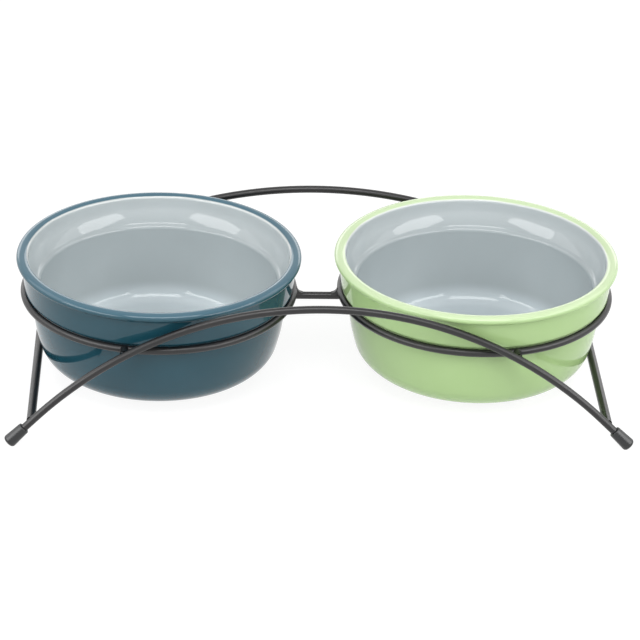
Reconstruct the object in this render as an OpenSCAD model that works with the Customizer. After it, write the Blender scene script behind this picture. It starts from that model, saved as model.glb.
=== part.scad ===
// Double pet bowl: two glazed bowls that hang in the rings of a wire stand.
// The stand is a front and a rear arch that lean towards each other, two rings,
// a bar between the rings, four short stubs from ring to arch, two side bars
// and four rubber foot caps.
// Millimetres. +X runs along the row of bowls, -Y is the front, +Z is up.
// The origin is on the floor, under the middle of the stand.

/* [Wire] */
// Diameter of every wire in the stand
wire_d = 3.5; // [3:0.1:5]
// How far two crossing wires sink into each other where they are welded
weld_bite = 0.3; // [0.1:0.05:0.6]
// Radius of the fillet welds between the centre bar and the rings
weld_r = 2.6; // [1.5:0.1:3.5]
// Width of those fillet welds, along the rings
weld_w = 2.4; // [1.6:0.1:2.8]
// How far the weld metal stands out round a butted wire end
weld_flare = 0.5; // [0.2:0.05:0.9]
// Length of that weld metal along the butted wire
weld_run = 1.3; // [0.8:0.1:2]

/* [Bowl rim and collar] */
// Outer diameter of a bowl, across its rim
bowl_d = 130; // [110:1:160]
// Height of a bowl, from its foot to the top of its rim
bowl_h = 54.1; // [51:0.1:66]
// Width of the rim's bead, seen from above
rim_w = 5.4; // [4.8:0.1:6.4]
// Height of the rim's bead
rim_t = 4; // [3.2:0.1:4.6]
// How far the collar stands in from the rim, just under the bead
collar_top_inset = 2.4; // [2:0.1:2.8]
// How far the collar stands in from the rim at its foot, over the ring
collar_foot_inset = 3.4; // [2.8:0.1:5]
// Height of the rim's top above the centre of the ring
rim_above_ring = 18.9; // [17:0.1:23]
// Radius under the collar, where it rests over the ring
shoulder_r = 2.2; // [1.6:0.1:2.6]

/* [Bowl inside] */
// Height over which the inside is upright, from the middle of the bead down
bead_drop = 1.8; // [0.5:0.1:3]
// Radius in which the inside starts to lean in
lean_in_r = 11; // [8:0.5:13]
// Lean of the inside at the top of its slope, in degrees from upright
slope_a = 25; // [20:1:28]
// Lean of the inside at the foot of its slope, in degrees from upright
slope_end_a = 33; // [31:1:40]
// Radius of the hollow over the ledge
hollow_r = 3; // [2:0.1:4]
// Lean of the ledge, in degrees from upright
ledge_a = 60; // [52:1:68]
// Radius of the soft edge of the ledge
ledge_r = 2.2; // [1.4:0.1:3]
// Radius of the curve from the ledge down to the corner
inner_side_r = 66; // [62:1:85]
// Radius between that curve and the floor
inner_corner_r = 7; // [5:0.5:12]
// How far the middle of the bowl's floor dips
dish = 0.3; // [0.2:0.05:0.6]

/* [Bowl body] */
// Wall thickness of a bowl
wall_t = 4.2; // [3.4:0.1:5]
// Thickness of a bowl's base
base_t = 4.4; // [3.4:0.1:6]
// Space between the body of a bowl and the ring round it
body_clear = 1.45; // [1.2:0.05:2.6]
// Radius of the gentle curve down the side of the body
side_r = 89; // [75:1:140]
// Outer radius between the side and the base
corner_r = 13.6; // [9:0.2:17]
// Height of the foot ring under the base
foot_h = 0.8; // [0.5:0.1:1.4]
// Width of the foot ring
foot_w = 4; // [2.5:0.1:6]

/* [Stand] */
// Space between the two rings, where the centre bar shows
ring_gap = 18.3; // [14:0.1:40]
// Clear height between the floor and the foot of a hanging bowl
floor_gap = 5.2; // [3:0.1:20]
// Running gap between a bowl and the ring that it sits in, and the least
// space that its belly keeps to a side bar
seat_gap = 0.3; // [0.2:0.05:0.6]
// Space between a bowl's collar or rim and the arches, seen from above
bowl_to_arch = 1.05; // [0.5:0.05:3]
// Lean of the arches towards each other, in degrees from upright
arch_lean = 11.5; // [4:0.5:14]
// Length from the height of the rings up to the top of an arch, centre to centre
arch_rise = 22; // [20:0.5:34]
// How far the tips of the feet stand out beyond the rings
foot_reach = 2.3; // [1:0.1:16]
// Length of the straight leg at each end of an arch, to the tip of its cap
leg_l = 18; // [17:0.2:36]
// Distance along a leg from its cap to the side bar
bar_step = 4.1; // [3.5:0.1:6]

/* [Foot caps] */
// Length of a foot cap
cap_l = 10; // [8:0.5:12]
// Rubber round the wire at the neck of a cap
cap_wall = 0.85; // [0.6:0.05:1.6]
// How much wider in radius a cap is at its tip
cap_flare = 0.45; // [0.1:0.05:1]
// Radius round the tip of a cap
cap_edge_r = 1.4; // [0.5:0.1:1.6]
// Radius of the chamfered edge at the neck of a cap
cap_neck_edge = 0.4; // [0.2:0.05:0.5]
// Rubber between the end of the wire and the tip of the cap
cap_end_t = 2.2; // [1.6:0.1:3.4]
// Clearance round the wire in a cap's bore
cap_clear = 0.05; // [0.02:0.01:0.1]
// Depth of the flat that a cap stands on
foot_flat = 0.55; // [0.2:0.05:0.6]

/* [Hidden] */

// Sides of the object, as multipliers of X and Y
LEFT = -1;
RIGHT = 1;
FRONT = -1;
REAR = 1;

wire_colour = "#3b3b3c";
cap_colour = "#1c1e1f";
blue_glaze = "#3c5766";
green_glaze = "#a8ca8a";

// Smoothness of the wires, of round bodies, and steps in each arc of an outline
wire_fn = 32;
round_fn = 144;
arc_steps = 8;
rim_steps = 24;

wire_r = wire_d / 2;

// Radii of the bowl, from the rim inwards
bowl_r = bowl_d / 2;
collar_top_r = bowl_r - collar_top_inset;
ring_r = bowl_r - collar_foot_inset;
body_r = ring_r - wire_r - body_clear;
neck_r = ring_r - shoulder_r - body_r;
inner_rim_r = bowl_r - rim_w;
inner_body_r = body_r - wall_t;

// Heights of the bowl, from its own foot
rim_z = bowl_h - rim_t / 2;
seat_z = bowl_h - rim_above_ring;
seat_reach = shoulder_r + wire_r + seat_gap;
shoulder_z = seat_z + sqrt(seat_reach * seat_reach - shoulder_r * shoulder_r);
body_top_z = shoulder_z - shoulder_r - neck_r;
floor_z = foot_h + base_t;

// How far a curve goes in and down while its lean turns from a0 to a1, as
// shares of its radius
function in_share(a0, a1) = abs(cos(a0) - cos(a1));
function down_share(a0, a1) = abs(sin(a1) - sin(a0));

// The inside of the collar, from the bead down to the body: it starts to lean
// in, slopes, turns over a hollow, and ends in the soft edge of a ledge. The
// radius of the slope is what makes that run end at the body's inside.
slope_in = inner_rim_r - inner_body_r - lean_in_r * in_share(0, slope_a)
           - hollow_r * in_share(slope_end_a, ledge_a) - ledge_r * in_share(ledge_a, 0);
slope_r = slope_in / in_share(slope_a, slope_end_a);
inner_top_z = rim_z - bead_drop - lean_in_r * down_share(0, slope_a)
              - slope_r * down_share(slope_a, slope_end_a)
              - hollow_r * down_share(slope_end_a, ledge_a) - ledge_r * down_share(ledge_a, 0);

// The outside curve: a side arc that runs into a tighter corner arc
corner_z = foot_h + corner_r;
corner_a = asin((body_top_z - corner_z) / (side_r - corner_r));
corner_x = body_r - side_r + (side_r - corner_r) * cos(corner_a);

// The inside curve: side arc, corner arc, and the dished floor
inner_corner_z = floor_z + inner_corner_r + dish;
inner_a = asin((inner_top_z - inner_corner_z) / (inner_side_r - inner_corner_r));
inner_corner_x = inner_body_r - inner_side_r + (inner_side_r - inner_corner_r) * cos(inner_a);
dish_reach = inner_corner_r + dish;
dish_r = (dish_reach * dish_reach - inner_corner_r * inner_corner_r
          + inner_corner_x * inner_corner_x) / (2 * dish);
dish_a = asin(inner_corner_x / (dish_r - inner_corner_r));

// The foot ring under the base, a share of its height in from the corner
foot_out_r = corner_x - foot_h - foot_h;
foot_in_r = foot_out_r - foot_w;

// The angle at which the bead's underside leaves the collar
bead_under_a = -70;

// Places in the stand
pitch = 2 * (ring_r + wire_r) + ring_gap;
ring_x = pitch / 2;
ring_z = floor_gap + seat_z;

// Foot caps, and the height of the tip of a cap on a leg of angle a, which
// leans with its arch too
cap_bore_r = wire_r + cap_clear;
cap_neck_r = cap_bore_r + cap_wall;
cap_tip_r = cap_neck_r + cap_flare;
function up_share(a) = sin(a) * cos(arch_lean);
function tip_height(a) =
    cap_edge_r + (cap_tip_r - cap_edge_r) * cos(asin(up_share(a)))
    - cap_edge_r * up_share(a) - foot_flat;

// For legs of angle a: where their feet are along the row, which is the
// feet's reach or what the side bars need to pass under the bellies, and how
// high the arch is along its lean
bar_along = cap_l + bar_step;
belly_reach = corner_r + wire_r + seat_gap;
function foot_x_for(a) =
    let (drop = max(0, floor_gap + corner_z - tip_height(a) - bar_along * up_share(a)),
         bar_x = ring_x + corner_x + sqrt(max(0, belly_reach * belly_reach - drop * drop)))
    max(ring_x + ring_r + wire_r + foot_reach, bar_x + bar_along * cos(a));
function arch_h_for(a) = arch_rise + (ring_z - tip_height(a)) / cos(arch_lean);

// An arch is one arc that runs into straight legs, so its height, its half
// span and the leg's length give the leg's angle. Height and span follow that
// angle a little, so it is found in a few steps.
first_leg_a = 45;
angle_steps = 10;
function leg_angle(a, steps) =
    steps <= 0 ? a
    : leg_angle(2 * atan(arch_h_for(a) / (foot_x_for(a) + leg_l)), steps - 1);
leg_a = leg_angle(first_leg_a, angle_steps);
tip_z = tip_height(leg_a);
foot_x = foot_x_for(leg_a);
arch_r = (foot_x - leg_l * cos(leg_a)) / sin(leg_a);

// How far along the row an arch has come at a height over the rings, and how
// high over the rings it is at a place along the row, both along its lean
function arch_x_at(h) = sqrt(arch_r * arch_r - (arch_r - arch_rise + h) * (arch_r - arch_rise + h));
function arch_h_at(x) = arch_rise - arch_r + sqrt(arch_r * arch_r - x * x);

// The arches keep clear of the collars where the bowls are widest, and of the
// rims where they pass the height of the beads
bead_h = min(arch_rise, (rim_above_ring - rim_t / 2) / cos(arch_lean));
clear_r = bowl_r + wire_r + bowl_to_arch;
bead_x = arch_x_at(bead_h);
by_rim_y = sqrt(max(0, clear_r * clear_r - (ring_x - bead_x) * (ring_x - bead_x)))
           + bead_h * sin(arch_lean);
by_collar_y = clear_r - collar_top_inset + arch_h_at(ring_x) * sin(arch_lean);
arch_y = max(by_collar_y, by_rim_y);
foot_y = arch_y + (ring_z - tip_z) * tan(arch_lean);

// Where the arches pass the height of the rings, and the ring there
stub_x = arch_x_at(0);
stub_y = sqrt(ring_r * ring_r - (stub_x - ring_x) * (stub_x - ring_x));

// Where the side bars meet the legs
side_bar_x = foot_x - bar_along * cos(leg_a);
side_bar_y = foot_y - bar_along * sin(leg_a) * sin(arch_lean);
side_bar_z = tip_z + bar_along * up_share(leg_a);

// The centre bar runs under both rings, as far as their inner sides
centre_bar_z = ring_z - wire_d + weld_bite;
centre_bar_half = ring_x - ring_r + wire_r;

// How far a butted end wraps round the wire that it is welded to
wrap_share = 0.45;
butt_wrap = wire_r * (1 - wrap_share);

function arc(x, z, r, a0, a1, steps) =
    [for (i = [0:steps]) let (a = a0 + (a1 - a0) * i / steps) [x + r * cos(a), z + r * sin(a)]];

// Points down an arc from p while its lean from upright turns from a0 to a1
function leaning(p, r, a0, a1, steps) =
    let (bend = a1 > a0 ? r : -r)
    [for (i = [1:steps]) let (a = a0 + (a1 - a0) * i / steps)
        p + bend * [cos(a) - cos(a0), sin(a0) - sin(a)]];

function oval(x, z, rx, rz, a0, a1, steps) =
    [for (i = [0:steps]) let (a = a0 + (a1 - a0) * i / steps) [x + rx * cos(a), z + rz * sin(a)]];

// The inside of the collar, drawn from the upright part under the bead
function collar_inside() =
    let (upright = [inner_rim_r, rim_z - bead_drop],
         lean_in = leaning(upright, lean_in_r, 0, slope_a, arc_steps),
         slope = leaning(lean_in[arc_steps - 1], slope_r, slope_a, slope_end_a, arc_steps),
         hollow = leaning(slope[arc_steps - 1], hollow_r, slope_end_a, ledge_a, arc_steps),
         edge = leaning(hollow[arc_steps - 1], ledge_r, ledge_a, 0, arc_steps))
    concat([upright], lean_in, slope, hollow, edge);

// Outline of a bowl, from the middle of its underside round the outside to
// the rim, and down the inside to the middle of its floor
function bowl_outline() = concat(
    [[0, foot_h], [foot_in_r - foot_h, foot_h], [foot_in_r, 0],
     [foot_out_r, 0], [foot_out_r + foot_h, foot_h]],
    arc(corner_x, corner_z, corner_r, -90, -corner_a, arc_steps),
    arc(body_r - side_r, body_top_z, side_r, -corner_a, 0, arc_steps),
    arc(body_r + neck_r, body_top_z, neck_r, 180, 90, arc_steps),
    arc(ring_r - shoulder_r, shoulder_z, shoulder_r, -90, 0, arc_steps),
    [[collar_top_r, rim_z - rim_t / 2 - rim_t / 8]],
    oval(bowl_r - rim_w / 2, rim_z, rim_w / 2, rim_t / 2, bead_under_a, 180, rim_steps),
    collar_inside(),
    arc(inner_body_r - inner_side_r, inner_top_z, inner_side_r, 0, -inner_a, arc_steps),
    arc(inner_corner_x, inner_corner_z, inner_corner_r, -inner_a, dish_a - 90, arc_steps),
    arc(0, floor_z + dish_r, dish_r, dish_a - 90, -90, arc_steps)
);

// Mirrors what is drawn at the right and the rear to the side asked for
module on_side(x_side, y_side = REAR) {
    mirror([x_side == LEFT ? 1 : 0, 0, 0])
    mirror([0, y_side == FRONT ? 1 : 0, 0])
    children();
}

module bowl(x_side, glaze) {
    color(glaze)
    on_side(x_side)
    translate([ring_x, 0, floor_gap])
    rotate_extrude($fn = round_fn)
    polygon(bowl_outline());
}

// A full turn of wire round the Z axis
module hoop(r) {
    rotate_extrude($fn = round_fn)
    translate([r, 0])
    circle(d = wire_d, $fn = wire_fn);
}

// The right ring's wire, in its place
module ring_wire() {
    translate([ring_x, 0, ring_z])
    hoop(ring_r);
}

module ring(x_side) {
    color(wire_colour)
    on_side(x_side)
    ring_wire();
}

// Half an arch, from its middle to the end of the wire in the foot cap: the
// arc is drawn about a millimetre too long and cut square at the middle
module half_arch() {
    difference() {
        rotate([0, 0, 90 - leg_a]) {
            rotate_extrude(angle = leg_a + leg_a / arch_r, $fn = round_fn)
            translate([arch_r, 0])
            circle(d = wire_d, $fn = wire_fn);

            translate([arch_r, 0])
            rotate([90, 0, 0])
            cylinder(d = wire_d, h = leg_l - cap_end_t, $fn = wire_fn);
        }
        translate([-2 * arch_r, -arch_r, -wire_d])
        cube([2 * arch_r, 3 * arch_r, 2 * wire_d]);
    }
}

// Puts its children in the rear arch's leaning plane, with the arc's centre
// at zero and +Y up the plane
module in_arch_plane() {
    translate([0, arch_y, ring_z])
    rotate([90 + arch_lean, 0, 0])
    translate([0, arch_rise - arch_r, 0])
    children();
}

module arch(y_side) {
    color(wire_colour)
    on_side(RIGHT, y_side)
    in_arch_plane() {
        half_arch();
        mirror([1, 0, 0]) half_arch();
    }
}

// Puts its children at the tip of the right rear foot, with +Z up the leg
module at_foot() {
    in_arch_plane()
    rotate([0, 0, 90 - leg_a])
    translate([arch_r, -leg_l, 0])
    rotate([-90, 0, 0])
    children();
}

// A length of wire along +Z with weld metal round both ends
module butted_wire(l) {
    cylinder(d = wire_d, h = l, $fn = wire_fn);
    cylinder(r1 = wire_r + weld_flare, r2 = wire_r, h = weld_run, $fn = wire_fn);
    translate([0, 0, l - weld_run])
    cylinder(r1 = wire_r, r2 = wire_r + weld_flare, h = weld_run, $fn = wire_fn);
}

// The weld in the corner between the centre bar and the right ring
module corner_weld() {
    weld_x = centre_bar_half - wire_d - weld_r;
    weld_top = wire_r + weld_r;
    translate([weld_x, weld_w / 2, centre_bar_z])
    rotate([90, 0, 0])
    linear_extrude(weld_w)
    difference() {
        square([weld_r + wire_r, weld_top]);
        translate([0, weld_top])
        circle(r = weld_r, $fn = wire_fn);
    }
}

module centre_bar() {
    color(wire_colour)
    difference() {
        union() {
            translate([-centre_bar_half, 0, centre_bar_z])
            rotate([0, 90, 0])
            cylinder(d = wire_d, h = 2 * centre_bar_half, $fn = wire_fn);
            for (x_side = [LEFT, RIGHT])
                on_side(x_side) corner_weld();
        }
        for (x_side = [LEFT, RIGHT])
            on_side(x_side) ring_wire();
    }
}

module side_bar(x_side) {
    half = side_bar_y - butt_wrap;
    color(wire_colour)
    on_side(x_side)
    difference() {
        translate([side_bar_x, half, side_bar_z])
        rotate([90, 0, 0])
        butted_wire(2 * half);
        for (y_side = [FRONT, REAR])
            on_side(RIGHT, y_side)
            at_foot()
            cylinder(d = wire_d, h = leg_l, $fn = wire_fn);
    }
}

module stub(x_side, y_side) {
    near = stub_y + butt_wrap;
    color(wire_colour)
    on_side(x_side, y_side)
    difference() {
        translate([stub_x, near, ring_z])
        rotate([-90, 0, 0])
        butted_wire(arch_y - butt_wrap - near);
        ring_wire();
        in_arch_plane() hoop(arch_r);
    }
}

// Outline of a foot cap round its blind bore, from the tip up to the neck
function cap_outline() = concat(
    [[0, 0]],
    arc(cap_tip_r - cap_edge_r, cap_edge_r, cap_edge_r, -90, 0, arc_steps),
    [[cap_neck_r, cap_l - cap_neck_edge], [cap_neck_r - cap_neck_edge, cap_l],
     [cap_bore_r, cap_l], [cap_bore_r, cap_end_t], [0, cap_end_t]]
);

module foot_cap(x_side, y_side) {
    color(cap_colour)
    on_side(x_side, y_side)
    difference() {
        at_foot()
        rotate_extrude($fn = wire_fn)
        polygon(cap_outline());

        translate([foot_x - cap_l, foot_y - cap_l, -cap_l])
        cube([2 * cap_l, 2 * cap_l, cap_l]);
    }
}

arch(FRONT);  // front_arch
arch(REAR);  // rear_arch
ring(LEFT);  // left_ring
ring(RIGHT);  // right_ring
centre_bar();
side_bar(LEFT);  // left_side_bar
side_bar(RIGHT);  // right_side_bar
stub(LEFT, FRONT);  // front_left_stub
stub(RIGHT, FRONT);  // front_right_stub
stub(LEFT, REAR);  // rear_left_stub
stub(RIGHT, REAR);  // rear_right_stub
foot_cap(LEFT, FRONT);  // front_left_foot_cap
foot_cap(RIGHT, FRONT);  // front_right_foot_cap
foot_cap(LEFT, REAR);  // rear_left_foot_cap
foot_cap(RIGHT, REAR);  // rear_right_foot_cap
bowl(LEFT, blue_glaze);  // left_bowl
bowl(RIGHT, green_glaze);  // right_bowl
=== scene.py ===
# %% [markdown]
# # A double pet bowl on a wire stand
# Two glazed bowls, one petrol blue and one apple green, hang by their collars
# in the rings of a low arched stand of black wire. This lesson dresses the
# measured model of that object: it keeps every size, and gives each piece the
# smooth shape and the finish of the real one. All lengths are in metres.

# %% Load the measured model
import math

import bpy
from mathutils import Matrix, Quaternion, Vector


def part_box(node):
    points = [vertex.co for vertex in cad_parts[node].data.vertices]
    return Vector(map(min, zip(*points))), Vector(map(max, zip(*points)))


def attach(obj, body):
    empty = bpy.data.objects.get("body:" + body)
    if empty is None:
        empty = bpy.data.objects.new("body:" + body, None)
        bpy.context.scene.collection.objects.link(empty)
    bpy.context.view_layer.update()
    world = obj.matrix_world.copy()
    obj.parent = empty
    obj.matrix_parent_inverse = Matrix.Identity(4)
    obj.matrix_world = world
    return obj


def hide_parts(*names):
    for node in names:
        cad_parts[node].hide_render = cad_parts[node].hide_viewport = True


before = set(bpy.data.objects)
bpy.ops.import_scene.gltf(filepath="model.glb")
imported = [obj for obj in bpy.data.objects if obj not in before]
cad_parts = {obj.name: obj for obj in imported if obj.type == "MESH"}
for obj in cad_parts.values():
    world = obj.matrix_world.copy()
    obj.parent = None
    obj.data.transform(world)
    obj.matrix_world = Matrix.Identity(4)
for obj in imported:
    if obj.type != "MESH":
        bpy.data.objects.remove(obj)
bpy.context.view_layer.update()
MM = 0.001

# %% [markdown]
# ## Sizes, read from the measured model
# The main sizes are read from the model and not typed again. A ring's box gives
# its radius and the thickness of the wire, a bowl's box gives the rim, and so
# on. The ends of the stubs and bars are cut hollow to fit round a wire, so they
# stop short of its middle line, by BUTT_IN.

# %% Read the boxes of the pieces
ring_low, ring_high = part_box("right_ring")
bowl_low, bowl_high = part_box("right_bowl")
arch_low, arch_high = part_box("rear_arch")
bar_low, bar_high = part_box("right_side_bar")
stub_low, stub_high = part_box("rear_right_stub")
centre_low, centre_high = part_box("centre_bar")

WIRE_R = (ring_high.z - ring_low.z) / 2
RING_X = (ring_high.x + ring_low.x) / 2
RING_Z = (ring_high.z + ring_low.z) / 2
RING_R = (ring_high.x - ring_low.x) / 2 - WIRE_R
BUTT_SHARE = 0.55
BUTT_IN = WIRE_R * BUTT_SHARE
ARCH_Y = stub_high.y + BUTT_IN
CROWN_Y = arch_low.y + WIRE_R
CROWN_Z = arch_high.z - WIRE_R
STUB_X = (stub_high.x + stub_low.x) / 2
BAR_X = (bar_high.x + bar_low.x) / 2
BAR_Z = (bar_high.z + bar_low.z) / 2
RIM_R = (bowl_high.x - bowl_low.x) / 2
FOOT_Z = bowl_low.z
BOWL_H = bowl_high.z - FOOT_Z
print(f"wire {2 * WIRE_R / MM:.2f} mm, ring radius {RING_R / MM:.2f}, rim radius {RIM_R / MM:.2f}")

# %% [markdown]
# ## The sides of the object
# The stand is the same left and right, and front and rear. So most pieces are
# made in a loop over its sides. Each side has a sign and a word for its names.

# %% Name the sides
COLUMNS = ((-1, "left"), (1, "right"))
ROWS = ((-1, "front"), (1, "rear"))

# %% [markdown]
# ## The line of an arch
# Each arch is one wire in a flat plane that leans towards the other arch: a
# long arc with a straight leg at both ends. Places in that plane are given by
# their way along the row and their height along the lean, from the rings up.
# The arc passes the height of the rings where the stubs are, which gives its
# radius. The leg touches the arc and ends in a foot cap. The box gives that
# end, apart from half a wire whose share depends on the leg's angle, so the
# angle is found in a few rounds.

# %% Work out the arch
LEAN = math.atan2(ARCH_Y - CROWN_Y, CROWN_Z - RING_Z)
ARCH_RISE = math.hypot(ARCH_Y - CROWN_Y, CROWN_Z - RING_Z)
ARCH_R = (STUB_X ** 2 + ARCH_RISE ** 2) / (2 * ARCH_RISE)

FIRST_GUESS_A = 45
ROUNDS = 8
LEG_A = math.radians(FIRST_GUESS_A)
for _ in range(ROUNDS):
    down_share = math.sin(LEG_A) * math.cos(LEAN)
    end_x = arch_high.x - WIRE_R * math.sin(LEG_A)
    end_z = arch_low.z + WIRE_R * math.sqrt(1 - down_share ** 2)
    end_h = (end_z - RING_Z) / math.cos(LEAN) - ARCH_RISE + ARCH_R
    LEG_WIRE = math.sqrt(end_x ** 2 + end_h ** 2 - ARCH_R ** 2)
    LEG_A = math.atan2(end_x, end_h) - math.atan2(LEG_WIRE, ARCH_R)


def arch_place(side, x, height):
    """A place in the plane of the front (-1) or rear (1) arch."""
    y = side * (ARCH_Y - height * math.sin(LEAN))
    return Vector((x, y, RING_Z + height * math.cos(LEAN)))


def leg_way(side):
    """The way down the right-hand leg of that arch."""
    return Vector((math.cos(LEG_A), side * math.sin(LEG_A) * math.sin(LEAN),
                   -math.sin(LEG_A) * math.cos(LEAN)))


LEG_START_X = ARCH_R * math.sin(LEG_A)
LEG_START_H = ARCH_RISE - ARCH_R + ARCH_R * math.cos(LEG_A)
print(f"arch radius {ARCH_R / MM:.2f} mm, lean {math.degrees(LEAN):.2f} degrees, "
      f"leg at {math.degrees(LEG_A):.2f} degrees, straight for {LEG_WIRE / MM:.2f} mm")

# %% [markdown]
# ## The camera
# The photograph was taken with a long lens from the front, a little above the
# object. A long lens keeps both bowls almost the same size. The frame is 640
# pixels wide, and the lens is given as the number of pixels that a slope of
# one covers, because that is what can be measured in a picture.

# %% Place the camera
FRAME_PIXELS = 640
LENS_PIXELS = 3000
SENSOR_MM = 36
CAMERA_UP = math.radians(27.47)
CAMERA_TURN = math.radians(-2.61)
CAMERA_ROLL = math.radians(1.64)
CAMERA_DISTANCE = 1387.3 * MM
LOOK_AT = Vector((1.76, 0, 24.39)) * MM

back = Vector((math.sin(CAMERA_TURN) * math.cos(CAMERA_UP),
               -math.cos(CAMERA_TURN) * math.cos(CAMERA_UP),
               math.sin(CAMERA_UP)))
level_right = Vector((math.cos(CAMERA_TURN), math.sin(CAMERA_TURN), 0))
level_up = back.cross(level_right)
right = level_right * math.cos(CAMERA_ROLL) + level_up * math.sin(CAMERA_ROLL)
up = level_up * math.cos(CAMERA_ROLL) - level_right * math.sin(CAMERA_ROLL)
turn = Matrix((right, up, back)).transposed().to_4x4()

bpy.ops.object.select_all(action="DESELECT")
bpy.ops.object.camera_add()
camera = bpy.context.object
camera.name = "camera"
camera.matrix_world = Matrix.Translation(LOOK_AT + back * CAMERA_DISTANCE) @ turn
camera.data.sensor_width = SENSOR_MM
camera.data.lens = LENS_PIXELS / FRAME_PIXELS * SENSOR_MM
bpy.context.scene.camera = camera
print("camera at", [round(v, 3) for v in camera.matrix_world.translation], "lens", camera.data.lens)

# %% [markdown]
# ## Helpers for shaping
# Blender's operators act on whatever is selected, so each piece starts with
# nothing selected. A piece ends with its place in its mesh, smooth shading that
# stops at sharp edges, a material, and the body of the model that carries it.

# %% Starting and finishing a piece
SHARP = math.radians(38)
TINY = 0.002 * MM


def name_new(name):
    """Names the object that was just added, and opens it for shaping."""
    piece = bpy.context.object
    piece.name = name
    piece.data.name = name
    bpy.ops.object.transform_apply(location=True, rotation=True, scale=True)
    bpy.ops.object.mode_set(mode="EDIT")
    bpy.ops.mesh.select_all(action="SELECT")
    return piece


def close_shape():
    """Merges doubled points, turns a closed shape's faces outwards and leaves edit mode."""
    bpy.ops.mesh.select_all(action="SELECT")
    bpy.ops.mesh.remove_doubles(threshold=TINY)
    bpy.ops.mesh.normals_make_consistent(inside=False)
    bpy.ops.object.mode_set(mode="OBJECT")


def dress(piece, body, slot, material, *nodes):
    """Shades a finished piece, paints it, and lets it stand for its nodes."""
    bpy.ops.object.select_all(action="DESELECT")
    piece.select_set(True)
    bpy.context.view_layer.objects.active = piece
    bpy.ops.object.shade_smooth_by_angle(angle=SHARP)
    piece.data.materials.clear()
    piece.data.materials.append(material)
    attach(piece, body)
    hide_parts(*nodes)
    print(f"{piece.name}: {len(piece.data.polygons)} faces for {', '.join(nodes)}")


# %% [markdown]
# ## Helpers for sections and lines
# A wire starts as its round section, which is then spun or extruded. Any other
# piece here starts as a line, drawn as by hand: a small plane is merged into
# one point, and each next point is extruded from the last.

# %% Sections and lines
WIRE_SIDES = 24


def wire_section(name, centre, rotation, radius=WIRE_R, fill_type="NOTHING"):
    """Starts a piece as the round section of a wire, open for shaping."""
    bpy.ops.object.select_all(action="DESELECT")
    bpy.ops.mesh.primitive_circle_add(vertices=WIRE_SIDES, radius=radius, fill_type=fill_type,
                                      rotation=rotation, location=centre)
    return name_new(name)


def draw_line(name, places):
    """Starts a piece as a line through places, open for shaping."""
    bpy.ops.object.select_all(action="DESELECT")
    bpy.ops.mesh.primitive_plane_add(size=MM)
    piece = name_new(name)
    bpy.ops.mesh.merge(type="CENTER")
    bpy.ops.transform.translate(value=places[0])
    for here, there in zip(places, places[1:]):
        bpy.ops.mesh.extrude_region_move(TRANSFORM_OT_translate={"value": there - here})
    bpy.ops.mesh.select_all(action="SELECT")
    return piece


# %% [markdown]
# ## Helpers for turned pieces
# A bowl and a foot cap are both turned shapes: an outline that goes once round
# an axis. So the outline is drawn as a line and spun. Corners of an outline are
# rounded before it is drawn, with an arc that touches both sides of the corner.

# %% Outlines
ARC_STEP = math.radians(6)


def arc(x, z, radius, start, end):
    """Points of an arc, both ends included; the angles are in degrees."""
    start, end = math.radians(start), math.radians(end)
    steps = max(2, math.ceil(abs(end - start) / ARC_STEP))
    angles = [start + (end - start) * i / steps for i in range(steps + 1)]
    return [(x + radius * math.cos(a), z + radius * math.sin(a)) for a in angles]


def soften(corners):
    """Rounds each corner (x, z, fillet) of an outline; a point (x, z) stays as it is."""
    line = [corners[0][:2]]
    for before, here, after in zip(corners, corners[1:], corners[2:]):
        if len(here) == 2:
            line.append(here)
            continue
        corner = Vector(here[:2])
        to_before = (Vector(before[:2]) - corner).normalized()
        to_after = (Vector(after[:2]) - corner).normalized()
        half = to_before.angle(to_after) / 2
        centre = corner + (to_before + to_after).normalized() * here[2] / math.sin(half)
        first = corner + to_before * here[2] / math.tan(half) - centre
        last = corner + to_after * here[2] / math.tan(half) - centre
        start = math.degrees(math.atan2(first.y, first.x))
        sweep = math.degrees(math.atan2(last.y, last.x)) - start
        sweep = (sweep + 180) % 360 - 180
        line += arc(centre.x, centre.y, here[2], start, start + sweep)
    return line + [corners[-1][:2]]


def turn_outline(name, outline, foot, across, axis, steps):
    """Draws an outline of (radius, height) and spins it round an axis through foot."""
    piece = draw_line(name, [foot + across * r + axis * h for r, h in outline])
    bpy.ops.mesh.spin(steps=steps, angle=math.tau, center=foot, axis=axis)
    close_shape()
    return piece


# %% [markdown]
# ## Writing materials as sums
# A material's nodes are easiest to read as arithmetic. A `Term` is one output
# of a node, and adding or multiplying terms adds Math nodes. A `Paint` is a
# material, and its `node` method adds any other node.

# %% Terms and paints
class Term:
    """An output of a node that can stand in a sum like a number."""

    def __init__(self, paint, output):
        self.paint = paint
        self.output = output

    def math(self, operation, first, second=None):
        inputs = {0: first} if second is None else {0: first, 1: second}
        return self.paint.node("ShaderNodeMath", {"operation": operation}, inputs)

    def __add__(self, other):
        return self.math("ADD", self, other)

    def __radd__(self, other):
        return self.math("ADD", other, self)

    def __sub__(self, other):
        return self.math("SUBTRACT", self, other)

    def __rsub__(self, other):
        return self.math("SUBTRACT", other, self)

    def __mul__(self, other):
        return self.math("MULTIPLY", self, other)

    def __rmul__(self, other):
        return self.math("MULTIPLY", other, self)

    def __truediv__(self, other):
        return self.math("DIVIDE", self, other)

    def __pow__(self, other):
        return self.math("POWER", self, other)

    def __abs__(self):
        return self.math("ABSOLUTE", self)


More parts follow.
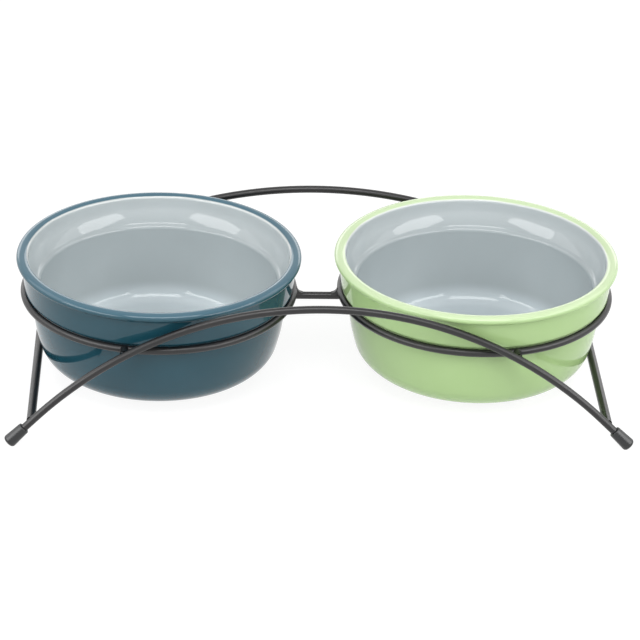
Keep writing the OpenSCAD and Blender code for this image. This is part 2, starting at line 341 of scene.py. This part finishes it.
class Paint:
    """A material, and the few ways in which this lesson adds nodes to it."""

    def __init__(self, name, **shader):
        self.material = bpy.data.materials.new(name)
        self.material.use_nodes = True
        self.tree = self.material.node_tree
        self.shader = self.tree.nodes["Principled BSDF"]
        for key, value in shader.items():
            self.set(key.replace("_", " ").title().replace("Ior", "IOR"), value)

    def fill(self, socket, value):
        """Links a term to a socket, or writes a number or colour in it."""
        if isinstance(value, Term):
            self.tree.links.new(value.output, socket)
        else:
            socket.default_value = value

    def set(self, key, value):
        """Sets a socket of the material's own shader."""
        self.fill(self.shader.inputs[key], value)

    def node(self, kind, settings=None, inputs=None, output=0):
        """Adds a node with its settings and inputs, and gives one of its outputs."""
        made = self.tree.nodes.new(kind)
        for key, value in (settings or {}).items():
            setattr(made, key, value)
        for key, value in (inputs or {}).items():
            self.fill(made.inputs[key], value)
        return Term(self, made.outputs[output])

    def place(self, shift=(0, 0, 0), what="Object"):
        """The place of a point on its piece, moved by shift, or its normal."""
        source = self.node("ShaderNodeTexCoord", output=what)
        return self.node("ShaderNodeMapping", None, {"Vector": source, "Location": shift})

    def parts(self, vector):
        """The x, y and z of a vector."""
        split = self.node("ShaderNodeSeparateXYZ", None, {0: vector})
        outputs = split.output.node.outputs
        return [Term(self, outputs[i]) for i in range(3)]

    def ease(self, value, low, high):
        """0 where the value is at low, 1 where it is at high, and smooth between."""
        return self.node("ShaderNodeMapRange", {"interpolation_type": "SMOOTHSTEP"},
                         {"Value": value, "From Min": low, "From Max": high})

    def noise(self, place, size, detail=2.0):
        """Soft noise from 0 to 1 whose spots are about that size in metres."""
        return self.node("ShaderNodeTexNoise", None,
                         {"Vector": place, "Scale": 1 / size, "Detail": detail})

    def blend(self, share, first, second):
        """The first colour where share is 0, the second where it is 1."""
        return self.node("ShaderNodeMix", {"data_type": "RGBA"},
                         {"Factor": share, 6: first, 7: second}, 2)

    def bump(self, height, depth):
        """Lets a height from 0 to 1 stand out by depth in metres."""
        self.set("Normal", self.node("ShaderNodeBump", None, {"Height": height, "Distance": depth}))


# %% [markdown]
# ## The powder coat
# The wires are steel with a dark grey powder coat. The powder melts into a
# satin skin with a fine pebbling, a little lighter and duller in soft patches.
# One flat colour would look like plastic, so noise varies the coat's colour and
# roughness, and finer noise in its bump gives the pebbling.

# %% Powder coat
WIRE_GREY = (0.004, 0.004, 0.005, 1)
WIRE_GREY_THICK = (0.010, 0.009, 0.009, 1)
PATCH_SIZE = 9 * MM
PEBBLE_SIZE = 0.7 * MM
PEBBLE_H = 0.035 * MM
COAT_ROUGH = 0.29
PATCH_ROUGH = 0.1
CLOUD_DETAIL = 3

coat = Paint("powder_coat", specular_ior_level=0.56)
here = coat.place()
patches = coat.noise(here, PATCH_SIZE, CLOUD_DETAIL)
pebbles = coat.noise(here, PEBBLE_SIZE)
coat.set("Base Color", coat.blend(patches, WIRE_GREY, WIRE_GREY_THICK))
coat.set("Roughness", COAT_ROUGH + PATCH_ROUGH * patches)
coat.bump(pebbles, PEBBLE_H)
POWDER_COAT = coat.material
print(f"{POWDER_COAT.name}: {len(coat.tree.nodes)} nodes")

# %% [markdown]
# ## The rubber
# The foot caps are black rubber, smooth from the mould, and a little dull and
# dusty where they touch the floor. The dust fades out with height.

# %% Rubber
RUBBER_BLACK = (0.008, 0.009, 0.010, 1)
RUBBER_DUSTY = (0.045, 0.045, 0.044, 1)
GRAIN_SIZE = 0.5 * MM
GRAIN_H = 0.01 * MM
DUST_TOP = 2.2 * MM
DUST_SIZE = 2 * MM
RUBBER_ROUGH = 0.28
GRAIN_ROUGH = 0.1
DUST_ROUGH = 0.25

rubber = Paint("cap_rubber", specular_ior_level=0.6)
here = rubber.place()
height = rubber.parts(here)[2]
grain = rubber.noise(here, GRAIN_SIZE)
dust = rubber.ease(height, DUST_TOP, 0) * rubber.noise(here, DUST_SIZE, CLOUD_DETAIL)
rubber.set("Base Color", rubber.blend(dust, RUBBER_BLACK, RUBBER_DUSTY))
rubber.set("Roughness", RUBBER_ROUGH + GRAIN_ROUGH * grain + DUST_ROUGH * dust)
rubber.bump(grain, GRAIN_H)
CAP_RUBBER = rubber.material
print(f"{CAP_RUBBER.name}: {len(rubber.tree.nodes)} nodes")

# %% [markdown]
# ## The rings
# Each bowl hangs in a ring of wire. A ring could be a torus, but here it is one
# round section of wire, spun a full turn about the bowl's axis. That gives the
# same even tube, and every other wire starts from the same section.

# %% Bend the rings
RING_STEPS = 144
ACROSS_Y = (math.pi / 2, 0, 0)

for side, column in COLUMNS:
    name = column + "_ring"
    ring = wire_section(name + "_wire", (side * RING_X + RING_R, 0, RING_Z), ACROSS_Y)
    bpy.ops.mesh.spin(steps=RING_STEPS, angle=math.tau,
                      center=(side * RING_X, 0, RING_Z), axis=(0, 0, 1))
    close_shape()
    dress(ring, "stand", "wire", POWDER_COAT, name)

# %% [markdown]
# ## The arches
# An arch starts as a section at its crown. Spinning that section through the
# angle of the leg draws half of the arc, extruding its last ring draws the
# straight leg, and a Mirror modifier adds the other half. A bevelled curve
# would also do, but a spin gives a true arc, which the leg leaves without a kink.

# %% Bend the arches
ARCH_STEPS = 40
ACROSS_X = (0, math.pi / 2, 0)

for side, row in ROWS:
    name = row + "_arch"
    arch = wire_section(name + "_wire", arch_place(side, 0, ARCH_RISE), ACROSS_X)
    bpy.ops.mesh.spin(steps=ARCH_STEPS, angle=LEG_A,
                      center=arch_place(side, 0, ARCH_RISE - ARCH_R),
                      axis=(0, -math.cos(LEAN), -side * math.sin(LEAN)))
    bpy.ops.mesh.extrude_region_move(TRANSFORM_OT_translate={"value": leg_way(side) * LEG_WIRE})
    bpy.ops.mesh.edge_face_add()
    bpy.ops.object.mode_set(mode="OBJECT")
    mirror = arch.modifiers.new("other half", "MIRROR")
    mirror.merge_threshold = TINY
    bpy.ops.object.modifier_apply(modifier=mirror.name)
    bpy.ops.object.mode_set(mode="EDIT")
    close_shape()
    dress(arch, "stand", "wire", POWDER_COAT, name)

# %% [markdown]
# ## Bars with weld metal
# The side bars and the stubs are straight lengths whose ends are welded to a
# round wire. The weld leaves a small flared collar round each end. A section
# is extruded along the bar and widened or narrowed at each step, and then the
# collar's points are moved a little at random and smoothed, as weld metal never
# lies even. The random numbers have a seed, so each run gives the same bar.
#
# A fault is left in here. Fill is given both open ends at once, so it doesn't
# cap each end but joins them with long faces from end to end. The ends are
# flared, so nearly all of these faces lie outside the wire, by up to 0.35 mm, and
# hide the collars. A stub shows as a plain tube about 4.2 mm thick, a side bar
# gets long uneven flats, and one stub keeps open edges. The cure is to select and
# fill each end on its own.

# %% A bar with weld at both ends
WELD_FLARE = 0.4 * MM
WELD_RUN = 1.3 * MM
WELD_STEPS = 6
WELD_WANDER = 0.06 * MM
WELD_OUTWARDS = 0.5
WELD_SMOOTHING = 0.4
WELD_PASSES = 2
WANDER_REACH = WELD_RUN * 0.9


def lay_bar(name, start, end, seed):
    """A straight wire from start to end with a collar of weld at each end."""
    way = (end - start).normalized()
    length = (end - start).length
    collar = [(WELD_RUN * i / WELD_STEPS, WELD_FLARE * (1 - i / WELD_STEPS) ** 2)
              for i in range(WELD_STEPS + 1)]
    stations = collar + [(length - along, flare) for along, flare in reversed(collar)]
    piece = wire_section(name, start, way.to_track_quat("Z", "Y").to_euler(), WIRE_R + WELD_FLARE)
    for (here, flare), (there, next_flare) in zip(stations, stations[1:]):
        bpy.ops.mesh.extrude_region_move(TRANSFORM_OT_translate={"value": way * (there - here)})
        size = (WIRE_R + next_flare) / (WIRE_R + flare)
        bpy.ops.transform.resize(value=(size, size, size), center_override=start + way * there)
    bpy.ops.mesh.select_all(action="DESELECT")
    bpy.ops.object.mode_set(mode="OBJECT")
    for vertex in piece.data.vertices:
        along = (vertex.co - start).dot(way)
        vertex.select = min(along, length - along) < WANDER_REACH
    bpy.ops.object.mode_set(mode="EDIT")
    bpy.ops.transform.vertex_random(offset=WELD_WANDER, normal=WELD_OUTWARDS, seed=seed)
    bpy.ops.mesh.vertices_smooth(factor=WELD_SMOOTHING, repeat=WELD_PASSES)
    bpy.ops.mesh.select_all(action="DESELECT")
    bpy.ops.mesh.select_non_manifold()
    bpy.ops.mesh.fill()
    close_shape()
    return piece


# %% [markdown]
# ## The side bars
# A side bar joins the front leg to the rear leg, close above the floor. It
# runs between the planes of the two arches at its own height, which is where
# the legs are, and stops short of both by BUTT_IN.

# %% Lay the side bars
BAR_SEED = 3

bar_h = (BAR_Z - RING_Z) / math.cos(LEAN)
reach = Vector((0, arch_place(1, 0, bar_h).y - BUTT_IN, 0))
for side, column in COLUMNS:
    name = column + "_side_bar"
    middle = Vector((side * BAR_X, 0, BAR_Z))
    bar = lay_bar(name + "_wire", middle - reach, middle + reach, BAR_SEED + side)
    dress(bar, "stand", "wire", POWDER_COAT, name)

# %% [markdown]
# ## The stubs
# Four short stubs join the rings to the arches where both are at the same
# height. Each runs straight to the front or the rear, so its near end is on
# the ring at the stub's place along the row.

# %% Lay the stubs
STUB_SEED = 7
STUB_Y = math.sqrt(RING_R ** 2 - (STUB_X - RING_X) ** 2)

for y_side, row in ROWS:
    for x_side, column in COLUMNS:
        name = f"{row}_{column}_stub"
        near = Vector((x_side * STUB_X, y_side * (STUB_Y + BUTT_IN), RING_Z))
        far = Vector((x_side * STUB_X, y_side * (ARCH_Y - BUTT_IN), RING_Z))
        stub = lay_bar(name + "_wire", near, far, STUB_SEED + 2 * y_side + x_side)
        dress(stub, "stand", "wire", POWDER_COAT, name)

# %% [markdown]
# ## The centre bar
# A short bar runs under both rings, with a fillet of weld in the corner over
# each end. Welds are soft blobs, which edges and faces describe badly. So the
# bar and two wedges with hollow faces are joined, wrapped in an even skin by
# Voxel Remesh, and smoothed until they look run together.

# %% Build the centre bar
CENTRE_HALF = centre_high.x
CENTRE_Z = centre_low.z + WIRE_R
FILLET_R = 2.6 * MM
FILLET_W = 2.4 * MM
FILLET_X = CENTRE_HALF - 2 * WIRE_R - FILLET_R
SKIN = 0.16 * MM
SKIN_PASSES = 6

centre_bar = wire_section("centre_bar_wire", (-CENTRE_HALF, 0, CENTRE_Z), ACROSS_X, fill_type="NGON")
bpy.ops.mesh.extrude_region_move(TRANSFORM_OT_translate={"value": (2 * CENTRE_HALF, 0, 0)})
close_shape()

wedges = []
for side, _ in COLUMNS:
    hollow = arc(FILLET_X, WIRE_R + FILLET_R, FILLET_R, -90, 0)
    profile = [(FILLET_X, 0), *hollow, (FILLET_X + FILLET_R + WIRE_R, WIRE_R + FILLET_R),
               (FILLET_X + FILLET_R + WIRE_R, 0)]
    wedge = draw_line("weld", [Vector((side * x, -FILLET_W / 2, CENTRE_Z + z)) for x, z in profile])
    bpy.ops.mesh.edge_face_add()
    bpy.ops.mesh.extrude_region_move(TRANSFORM_OT_translate={"value": (0, FILLET_W, 0)})
    close_shape()
    wedges.append(wedge)

bpy.ops.object.select_all(action="DESELECT")
for shape in (*wedges, centre_bar):
    shape.select_set(True)
bpy.context.view_layer.objects.active = centre_bar
bpy.ops.object.join()
skin = centre_bar.modifiers.new("skin", "REMESH")
skin.mode = "VOXEL"
skin.voxel_size = SKIN
bpy.ops.object.modifier_apply(modifier=skin.name)
soft = centre_bar.modifiers.new("run together", "SMOOTH")
soft.iterations = SKIN_PASSES
bpy.ops.object.modifier_apply(modifier=soft.name)
dress(centre_bar, "stand", "wire", POWDER_COAT, "centre_bar")

# %% [markdown]
# ## The foot caps
# Each leg ends in a moulded rubber cap: a sleeve that widens towards its tip,
# with a round edge there, and a bore that the wire was pushed into. It is
# turned round the leg's line, and where it stands on the floor it has a flat,
# cut with Bisect.

# %% Turn the foot caps
CAP_L = 10 * MM
CAP_FLARE = 0.45 * MM
CAP_EDGE_R = 1.4 * MM
CAP_NECK_EDGE = 0.4 * MM
CAP_BORE_EDGE = CAP_NECK_EDGE / 4
CAP_END_T = 2.2 * MM
CAP_CLEAR = 0.05 * MM
CAP_WALL = 0.85 * MM
CAP_NECK_R = WIRE_R + CAP_CLEAR + CAP_WALL
CAP_TIP_R = CAP_NECK_R + CAP_FLARE
CAP_STEPS = 48

cap_outline = soften([
    (0, 0),
    (CAP_TIP_R, 0, CAP_EDGE_R),
    (CAP_NECK_R, CAP_L, CAP_NECK_EDGE),
    (WIRE_R + CAP_CLEAR, CAP_L, CAP_BORE_EDGE),
    (WIRE_R + CAP_CLEAR, CAP_END_T),
    (0, CAP_END_T),
])

for y_side, row in ROWS:
    for x_side, column in COLUMNS:
        name = f"{row}_{column}_foot_cap"
        tip = arch_place(y_side, LEG_START_X, LEG_START_H) + leg_way(y_side) * (LEG_WIRE + CAP_END_T)
        leg_up = -leg_way(y_side)
        tip.x *= x_side
        leg_up.x *= x_side
        square_to_arch = Vector((0, math.cos(LEAN), y_side * math.sin(LEAN)))
        cap = turn_outline(name + "_rubber", cap_outline, tip, square_to_arch, leg_up, CAP_STEPS)
        bpy.ops.object.mode_set(mode="EDIT")
        bpy.ops.mesh.bisect(plane_co=(0, 0, 0), plane_no=(0, 0, 1), clear_inner=True,
                            use_fill=True, threshold=TINY)
        close_shape()
        dress(cap, "stand", "cap_rubber", CAP_RUBBER, name)

# %% [markdown]
# ## The outline of a bowl
# The bowl is turned clay. Its outline starts in the middle of the underside,
# goes round the foot ring and up the belly, steps out over the wire ring to the
# collar, rolls over the rim's bead, and comes down the inside. All its arcs
# touch without a kink, because a glossy glaze shows every kink as a line.

# %% Sizes of a bowl
RIM_W = 5.4 * MM
RIM_T = 4 * MM
COLLAR_TOP_R = RIM_R - 2.4 * MM
COLLAR_R = RING_R
SHOULDER_R = 2.2 * MM
SEAT_GAP = 0.3 * MM
BODY_R = RING_R - WIRE_R - 1.45 * MM
WALL_T = 4.2 * MM
BASE_T = 4.4 * MM
SIDE_R = 89 * MM
CORNER_R = 13.6 * MM
INNER_SIDE_R = 66 * MM
INNER_CORNER_R = 7 * MM
DISH = 0.3 * MM
FOOT_H = 0.8 * MM
FOOT_W = 4 * MM
FOOT_ROUND = 0.35 * MM
BEAD_UNDER_A = -60
BEAD_STEP = 6
BEAD_FILLET_R = 1 * MM

rim_z = BOWL_H - RIM_T / 2
neck_r = COLLAR_R - SHOULDER_R - BODY_R
seat_reach = SHOULDER_R + WIRE_R + SEAT_GAP
shoulder_z = RING_Z - FOOT_Z + math.sqrt(seat_reach ** 2 - SHOULDER_R ** 2)
body_top_z = shoulder_z - SHOULDER_R - neck_r
corner_z = FOOT_H + CORNER_R
corner_a = math.asin((body_top_z - corner_z) / (SIDE_R - CORNER_R))
corner_x = BODY_R - SIDE_R + (SIDE_R - CORNER_R) * math.cos(corner_a)
foot_out_r = corner_x - 2 * FOOT_H
foot_in_r = foot_out_r - FOOT_W
print(f"belly radius {BODY_R / MM:.1f} mm, foot ring {foot_in_r / MM:.1f} to {foot_out_r / MM:.1f}")

# %% Outside of a bowl
bead_a = math.radians(BEAD_UNDER_A)
bead_foot = (RIM_R - RIM_W / 2 + RIM_W / 2 * math.cos(bead_a), rim_z + RIM_T / 2 * math.sin(bead_a))
bead_slope = RIM_T / RIM_W / -math.tan(bead_a)
under_bead_z = bead_foot[1] - (bead_foot[0] - COLLAR_TOP_R) * bead_slope

outside = [
    (0, FOOT_H),
    (foot_in_r - FOOT_H, FOOT_H, FOOT_H),
    (foot_in_r, 0, FOOT_ROUND),
    (foot_out_r, 0, FOOT_ROUND),
    (foot_out_r + FOOT_H, FOOT_H, FOOT_ROUND),
    *arc(corner_x, corner_z, CORNER_R, -90, -math.degrees(corner_a)),
    *arc(BODY_R - SIDE_R, body_top_z, SIDE_R, -math.degrees(corner_a), 0)[1:],
    *arc(BODY_R + neck_r, body_top_z, neck_r, 180, 90)[1:],
    *arc(COLLAR_R - SHOULDER_R, shoulder_z, SHOULDER_R, -90, 0),
    (COLLAR_TOP_R, under_bead_z, BEAD_FILLET_R),
]
bead = [(RIM_R - RIM_W / 2 + RIM_W / 2 * math.cos(math.radians(a)),
         rim_z + RIM_T / 2 * math.sin(math.radians(a))) for a in range(BEAD_UNDER_A, 181, BEAD_STEP)]

# %% [markdown]
# ## The inside of the collar
# Below the bead the inside wall starts upright and leans in more and more, then
# turns over a soft ledge into the belly. That lean is what catches the side
# lights as two bright patches at the back of each bowl. The walk down the wall
# is written as changes of lean, each with the radius of its curve.

# %% Inside of a bowl
BEAD_DROP = 1.8 * MM
LEAN_TOP = 25
LEAN_LOW = 33
LEAN_LEDGE = 60
LEAN_TOP_R = 11 * MM
LEDGE_HOLLOW_R = 3 * MM
LEDGE_R = 2.2 * MM
LEAN_STEP = ARC_STEP / 2


def lean_over(start, old, new, radius):
    """Points down an inside wall whose lean from upright changes, in degrees."""
    steps = max(3, math.ceil(abs(math.radians(new - old)) / LEAN_STEP))
    bend = radius if new > old else -radius
    line = []
    for i in range(1, steps + 1):
        a0 = math.radians(old)
        a1 = math.radians(old + (new - old) * i / steps)
        line.append((start[0] + bend * (math.cos(a1) - math.cos(a0)),
                     start[1] - bend * (math.sin(a1) - math.sin(a0))))
    return line


def run_in(old, new):
    """How far a change of lean goes in, as a share of the radius of its curve."""
    return abs(math.cos(math.radians(old)) - math.cos(math.radians(new)))


inner_body_r = BODY_R - WALL_T
bead_in_r = RIM_R - RIM_W
rest = (bead_in_r - inner_body_r - LEAN_TOP_R * run_in(0, LEAN_TOP)
        - LEDGE_HOLLOW_R * run_in(LEAN_LOW, LEAN_LEDGE) - LEDGE_R * run_in(LEAN_LEDGE, 0))
lean_low_r = rest / run_in(LEAN_TOP, LEAN_LOW)
collar = [(bead_in_r, rim_z - BEAD_DROP)]
collar += lean_over(collar[-1], 0, LEAN_TOP, LEAN_TOP_R)
collar += lean_over(collar[-1], LEAN_TOP, LEAN_LOW, lean_low_r)
collar += lean_over(collar[-1], LEAN_LOW, LEAN_LEDGE, LEDGE_HOLLOW_R)
collar += lean_over(collar[-1], LEAN_LEDGE, 0, LEDGE_R)

# %% [markdown]
# ## The belly's inside and the floor
# Under the ledge the wall follows a long arc, turns through a small one, and
# runs out into a floor that is a very shallow dish. The dish's radius is the
# one at which it meets the small arc without a kink.

# %% Join the whole outline
floor_z = FOOT_H + BASE_T
inner_top_z = collar[-1][1]
inner_corner_z = floor_z + INNER_CORNER_R + DISH
inner_turn = math.asin((inner_top_z - inner_corner_z) / (INNER_SIDE_R - INNER_CORNER_R))
inner_corner_x = inner_body_r - INNER_SIDE_R + (INNER_SIDE_R - INNER_CORNER_R) * math.cos(inner_turn)
inner_a = math.degrees(inner_turn)
dish_reach = INNER_CORNER_R + DISH
dish_r = (dish_reach ** 2 - INNER_CORNER_R ** 2 + inner_corner_x ** 2) / (2 * DISH)
dish_a = math.degrees(math.asin(inner_corner_x / (dish_r - INNER_CORNER_R)))
inside = [
    *collar,
    *arc(inner_body_r - INNER_SIDE_R, inner_top_z, INNER_SIDE_R, 0, -inner_a)[1:],
    *arc(inner_corner_x, inner_corner_z, INNER_CORNER_R, -inner_a, dish_a - 90)[1:],
    *arc(0, floor_z + dish_r, dish_r, dish_a - 90, -90)[1:],
]
bowl_outline = soften(outside + bead + inside)
print(f"lean radius {lean_low_r / MM:.1f} mm, ledge {(rim_z - inner_top_z) / MM:.1f} mm under the lip, "
      f"{len(bowl_outline)} points")

# %% [markdown]
# ## The glaze
# A glaze is a coat of coloured glass on clay. The outside colour runs over the
# bead, where it meets the grey of the inside in a thin pale line. The colour
# runs thin on the crest of the bead, and the crest is also lightened as painted
# light, standing in for the lamps on its top. Inside, the grey is made paler
# near the lip and on the floor as painted light, standing in for the light that
# falls there. The clear surface is a coat over the colour, with the slightest
# orange peel, and the foot ring's underside is bare clay, wiped clean so that it
# didn't stick in the kiln. All of it is worked out from a point's place, its
# distance to the bowl's axis and its normal, so it needs no picture and no UV map.

# %% Colours and sizes of the glaze
BLUE = (0.007, 0.056, 0.080, 1)
# The second colour of each bowl lightens the crest of its bead: partly thin glaze, partly painted
# light.
BLUE_THIN_AND_LIT = (0.08, 0.175, 0.235, 1)
GREEN = (0.385, 0.57, 0.24, 1)
GREEN_THIN_AND_LIT = (0.70, 0.82, 0.56, 1)
INSIDE_GREY = (0.40, 0.445, 0.458, 1)
# The paler greys of the floor and of the lip below are painted light.
FLOOR_PAINTED_LIGHT_GREY = (0.62, 0.69, 0.72, 1)
LIP_PAINTED_LIGHT_GREY = (0.70, 0.75, 0.76, 1)
BARE_CLAY = (0.62, 0.55, 0.46, 1)
SEAM_PALE = (0.86, 0.87, 0.84, 1)
SHADE = (0, 0, 0, 1)
GLASS_IOR = 1.46
GLASS_ROUGH = 0.03
COLOUR_ROUGH = 0.35
CLAY_ROUGHER = 0.45

SEAM_R = bead_in_r + 0.45 * MM
SEAM_W = 0.5 * MM
SEAM_FADE = SEAM_W / 3
SEAM_WANDER = 0.35 * MM
WANDER_SIZE = 14 * MM
CLOUD_SIZE = 22 * MM
# The heights between which the painted light on the floor fades in.
FLOOR_PAINTED_LIGHT_TOP = 15 * MM
FLOOR_PAINTED_LIGHT_FULL = 7 * MM
CLAY_H = 0.25 * MM
CLAY_FADE_H = CLAY_H * 1.4
PEEL_SIZE = 5 * MM
FINE_PEEL_SIZE = 1.6 * MM
PEEL_H = 0.01 * MM

# %% Glaze
CLOUD_THINNING = 0.15
CLOUD_SHADE = 0.08
# The share of the painted light near the lip.
LIP_PAINTED_LIGHT_SHARE = 0.5
SEAM_SHARE = 0.6
SEAM_FACES_UP = (-0.1, 0.3)
TURN_FADE = 0.2
COARSE_PEEL = 0.7
FINE_PEEL = 0.3


def glaze(name, colour, thin_and_lit_colour, centre_x, thin_and_lit_share):
    """The paint of one bowl: its outside colour, and a lighter one on the crest, for thin glaze and
    painted light.
    """
    paint = Paint(name, specular_ior_level=0.0, coat_roughness=GLASS_ROUGH, coat_ior=GLASS_IOR)
    place = paint.place((-centre_x, 0, 0))
    x, y, z = paint.parts(place)
    normal_x, normal_y, normal_z = paint.parts(paint.place(what="Normal"))
    radius = (x * x + y * y) ** 0.5
    looks_out = (normal_x * x + normal_y * y) / radius
    wavy_radius = radius + (paint.noise(place, WANDER_SIZE) - 0.5) * SEAM_WANDER

    cloud = paint.noise(place, CLOUD_SIZE, CLOUD_DETAIL)
    # The crest of the bead is made lighter: thin glaze, and painted light on its top.
    thin_and_lit_crest = paint.ease(z, FOOT_Z + rim_z - RIM_T / 8, FOOT_Z + BOWL_H)
    outer = paint.blend(thin_and_lit_crest * thin_and_lit_share + cloud * CLOUD_THINNING, colour, thin_and_lit_colour)

    # Painted light: the inside grey is made paler on the floor.
    floor_painted_light = paint.ease(z, FOOT_Z + FLOOR_PAINTED_LIGHT_TOP, FOOT_Z + FLOOR_PAINTED_LIGHT_FULL)
    # Painted light: the inside grey is made paler towards the lip.
    lip_painted_light = paint.ease(z, FOOT_Z + inner_top_z, FOOT_Z + rim_z)
    inner = paint.blend(floor_painted_light, INSIDE_GREY, FLOOR_PAINTED_LIGHT_GREY)
    inner = paint.blend(lip_painted_light * LIP_PAINTED_LIGHT_SHARE, inner, LIP_PAINTED_LIGHT_GREY)
    inner = paint.blend(cloud * CLOUD_SHADE, inner, SHADE)

    within = paint.ease(wavy_radius, SEAM_R + SEAM_FADE, SEAM_R - SEAM_FADE)
    inside_share = within * paint.ease(normal_z - looks_out, -TURN_FADE, TURN_FADE)
    seam = paint.ease(abs(wavy_radius - SEAM_R), SEAM_W, 0) * paint.ease(normal_z, *SEAM_FACES_UP)
    bare = paint.ease(z, FOOT_Z + CLAY_FADE_H, FOOT_Z + CLAY_H)
    glazed = paint.blend(inside_share, outer, inner)
    glazed = paint.blend(seam * SEAM_SHARE, glazed, SEAM_PALE)
    paint.set("Base Color", paint.blend(bare, glazed, BARE_CLAY))
    paint.set("Roughness", COLOUR_ROUGH + CLAY_ROUGHER * bare)
    paint.set("Coat Weight", 1 - bare)

    peel = paint.noise(place, PEEL_SIZE) * COARSE_PEEL + paint.noise(place, FINE_PEEL_SIZE) * FINE_PEEL
    paint.bump(peel, PEEL_H)
    print(f"{name}: {len(paint.tree.nodes)} nodes")
    return paint.material


BLUE_GLAZE = glaze("blue_glaze", BLUE, BLUE_THIN_AND_LIT, -RING_X, thin_and_lit_share=0.65)
GREEN_GLAZE = glaze("green_glaze", GREEN, GREEN_THIN_AND_LIT, RING_X, thin_and_lit_share=0.6)

# %% [markdown]
# ## The bowls
# The outline is spun about each bowl's axis, and each bowl rides on its own
# body, because it lifts out of its ring.

# %% Turn the bowls
BOWL_STEPS = 192

for side, node, slot, material in ((-1, "left_bowl", "blue_glaze", BLUE_GLAZE),
                                   (1, "right_bowl", "green_glaze", GREEN_GLAZE)):
    bowl = turn_outline(node + "_ceramic", bowl_outline, Vector((side * RING_X, 0, FOOT_Z)),
                        Vector((1, 0, 0)), Vector((0, 0, 1)), BOWL_STEPS)
    dress(bowl, node, slot, material, node)

# %% [markdown]
# ## The floor and the world
# The object stands on a white sweep, so the floor is a wide plane. Seen by the
# camera or in a reflection, floor and world are white, and the floor keeps a
# soft shadow. As a source of light, the world gives only a little fill, which
# leaves room for the lamps.

# %% Floor and world
FLOOR_SIZE = 6
FLOOR_GLOW = 0.9
FLOOR_SEEN = 0.2
FLOOR_BOUNCE = 0.8
WORLD_FILL = 0.24
WORLD_SEEN = 1
WHITE = (1, 1, 1, 1)

bpy.ops.object.select_all(action="DESELECT")
bpy.ops.mesh.primitive_plane_add(size=FLOOR_SIZE)
floor = bpy.context.object
floor.name = "floor"


def seen_share(tree):
    """1 for rays from the camera, a reflection or glass, and 0 for the rest."""
    path = tree.nodes.new("ShaderNodeLightPath")
    total = path.outputs["Is Camera Ray"]
    for ray in ("Is Glossy Ray", "Is Transmission Ray"):
        adder = tree.nodes.new("ShaderNodeMath")
        adder.operation = "MAXIMUM"
        tree.links.new(total, adder.inputs[0])
        tree.links.new(path.outputs[ray], adder.inputs[1])
        total = adder.outputs[0]
    return total


sweep = Paint("floor_white", roughness=1.0, specular_ior_level=0.0)
seen = Term(sweep, seen_share(sweep.tree))
sweep.set("Base Color", sweep.blend(seen, (FLOOR_BOUNCE,) * 3 + (1,), (FLOOR_SEEN,) * 3 + (1,)))
sweep.set("Emission Color", WHITE)
sweep.set("Emission Strength", seen * FLOOR_GLOW)
floor.data.materials.append(sweep.material)

world = bpy.data.worlds.new("studio")
bpy.context.scene.world = world
world.use_nodes = True
background = world.node_tree.nodes["Background"]
background.inputs["Color"].default_value = WHITE
span = world.node_tree.nodes.new("ShaderNodeMapRange")
world.node_tree.links.new(seen_share(world.node_tree), span.inputs["Value"])
span.inputs["To Min"].default_value = WORLD_FILL
span.inputs["To Max"].default_value = WORLD_SEEN
world.node_tree.links.new(span.outputs[0], background.inputs["Strength"])
print("world", WORLD_FILL, "as light,", WORLD_SEEN, "as seen")

# %% [markdown]
# ## The lamps
# A glaze is a curved mirror, so its highlights tell where the lamps stood. The
# bright arc on each bowl's floor comes from one softbox, high in front. The two
# patches at the back of each bowl and the streaks on its floor come from a
# long softbox at either side, seen low and a little askew. Two things are
# guessed from how bright edges and insides are: a dim lamp, low behind the
# object, that lights the inner flanks of the beads, and a wide dim one at
# either end that fills the shade.

# %% Hang the lamps
LAMP_AIM = Vector((0, 0, 0.04))


def hang_lamp(name, around, above, distance, width, height, glow, roll=0):
    """A softbox that faces the object, with angles in degrees from the front; glow 1 is white."""
    around, above, roll = math.radians(around), math.radians(above), math.radians(roll)
    way = Vector((math.sin(around) * math.cos(above),
                  -math.cos(around) * math.cos(above),
                  math.sin(above)))
    facing = way.to_track_quat("Z", "Y") @ Quaternion((0, 0, 1), roll)
    bpy.ops.object.select_all(action="DESELECT")
    bpy.ops.object.light_add(type="AREA", location=LAMP_AIM + way * distance,
                             rotation=facing.to_euler())
    lamp = bpy.context.object
    lamp.name = name
    lamp.data.shape = "RECTANGLE"
    lamp.data.size = width
    lamp.data.size_y = height
    lamp.data.energy = glow * math.pi * width * height
    lamp.visible_camera = False
    print(f"{name}: {lamp.data.energy:.2f} W")


hang_lamp("front_softbox", around=0, above=57, distance=1.3, width=1, height=0.5, glow=5.1)
hang_lamp("rear_softbox", around=180, above=14, distance=1.6, width=2.2, height=0.45, glow=1.7)
for side, column in COLUMNS:
    hang_lamp(column + "_softbox", around=side * 57, above=27, distance=1.2,
              width=0.95, height=0.4, glow=4.9, roll=side * 8)
    hang_lamp(column + "_fill", around=side * 102, above=32, distance=1.4,
              width=1, height=0.8, glow=1.4)

# %% [markdown]
# ## Colour as it is written
# The Standard view transform shows a colour as it was written. The looks may
# not make it larger.

# %% Finish
bpy.context.scene.view_settings.view_transform = "Standard"
